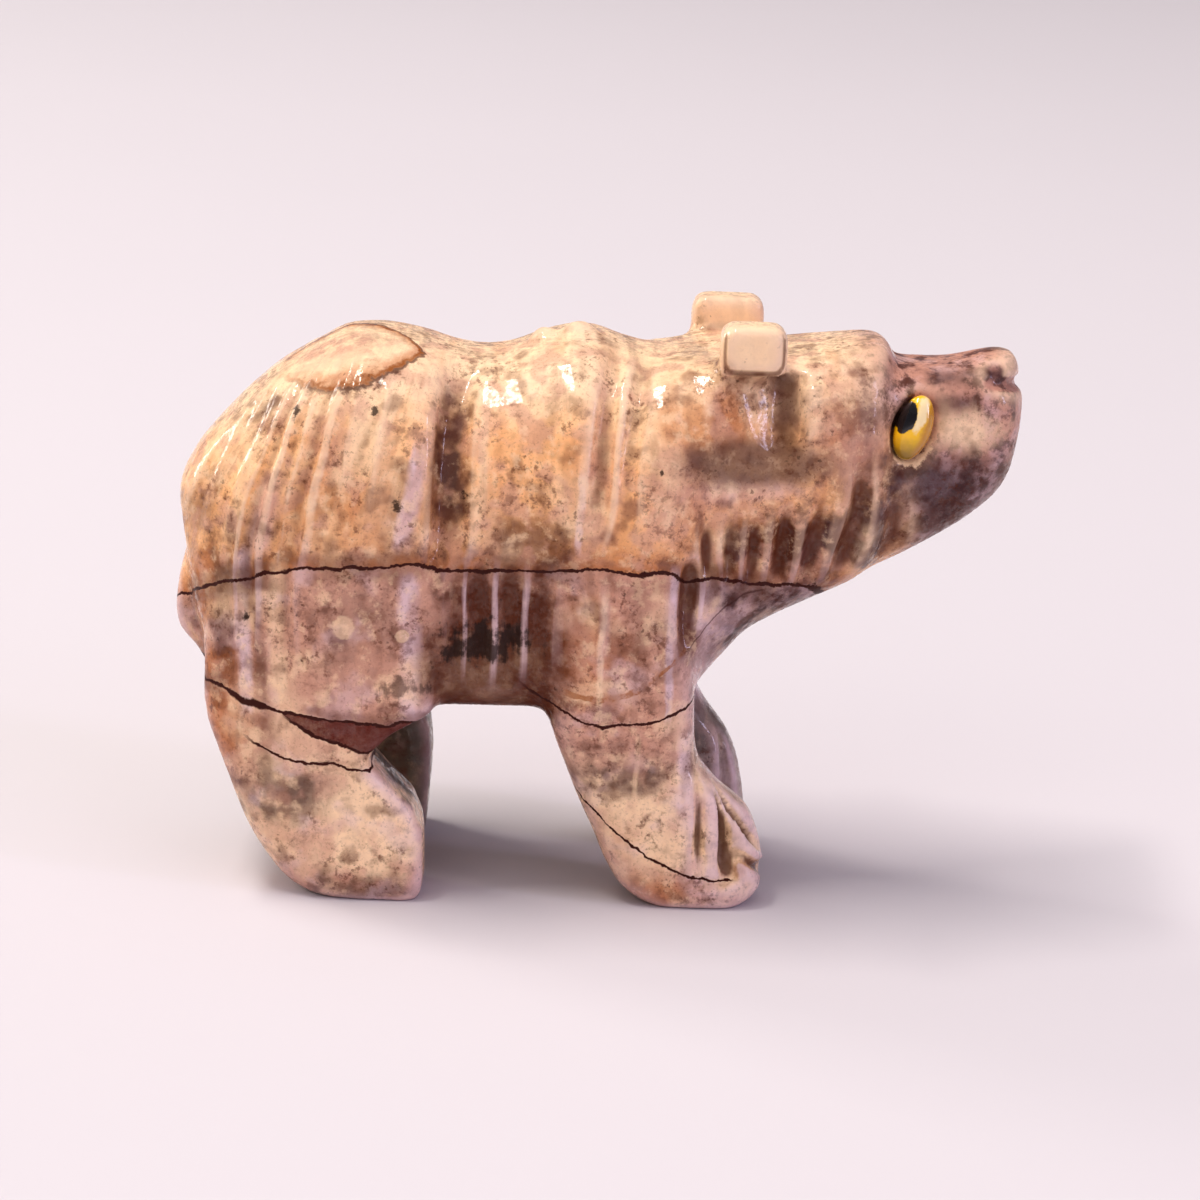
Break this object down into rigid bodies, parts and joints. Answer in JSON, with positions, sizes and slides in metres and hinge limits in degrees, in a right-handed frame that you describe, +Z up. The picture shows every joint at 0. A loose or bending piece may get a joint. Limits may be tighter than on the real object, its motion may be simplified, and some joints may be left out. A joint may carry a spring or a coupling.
{
  "type": "stone bear carving",
  "caption": "Small standing bear carved from one block of polished banded stone, with fluted fur, block ears and raised yellow eyes.",
  "frame": {"origin": "on the surface it stands on, under the middle of the bear's length and width", "axes": "+X towards the nose, +Y towards the bear's left side, +Z up"},
  "size_m": [0.0596, 0.022, 0.042],
  "materials": {
    "stone": "polished banded soft stone, tan and mauve with dark veins",
    "eye": "glossy yellow enamel bead with a painted black pupil"
  },
  "bodies": {
    "root": {"bear": "stone", "right_eye": "eye", "left_eye": "eye"}
  },
  "joints": []
}
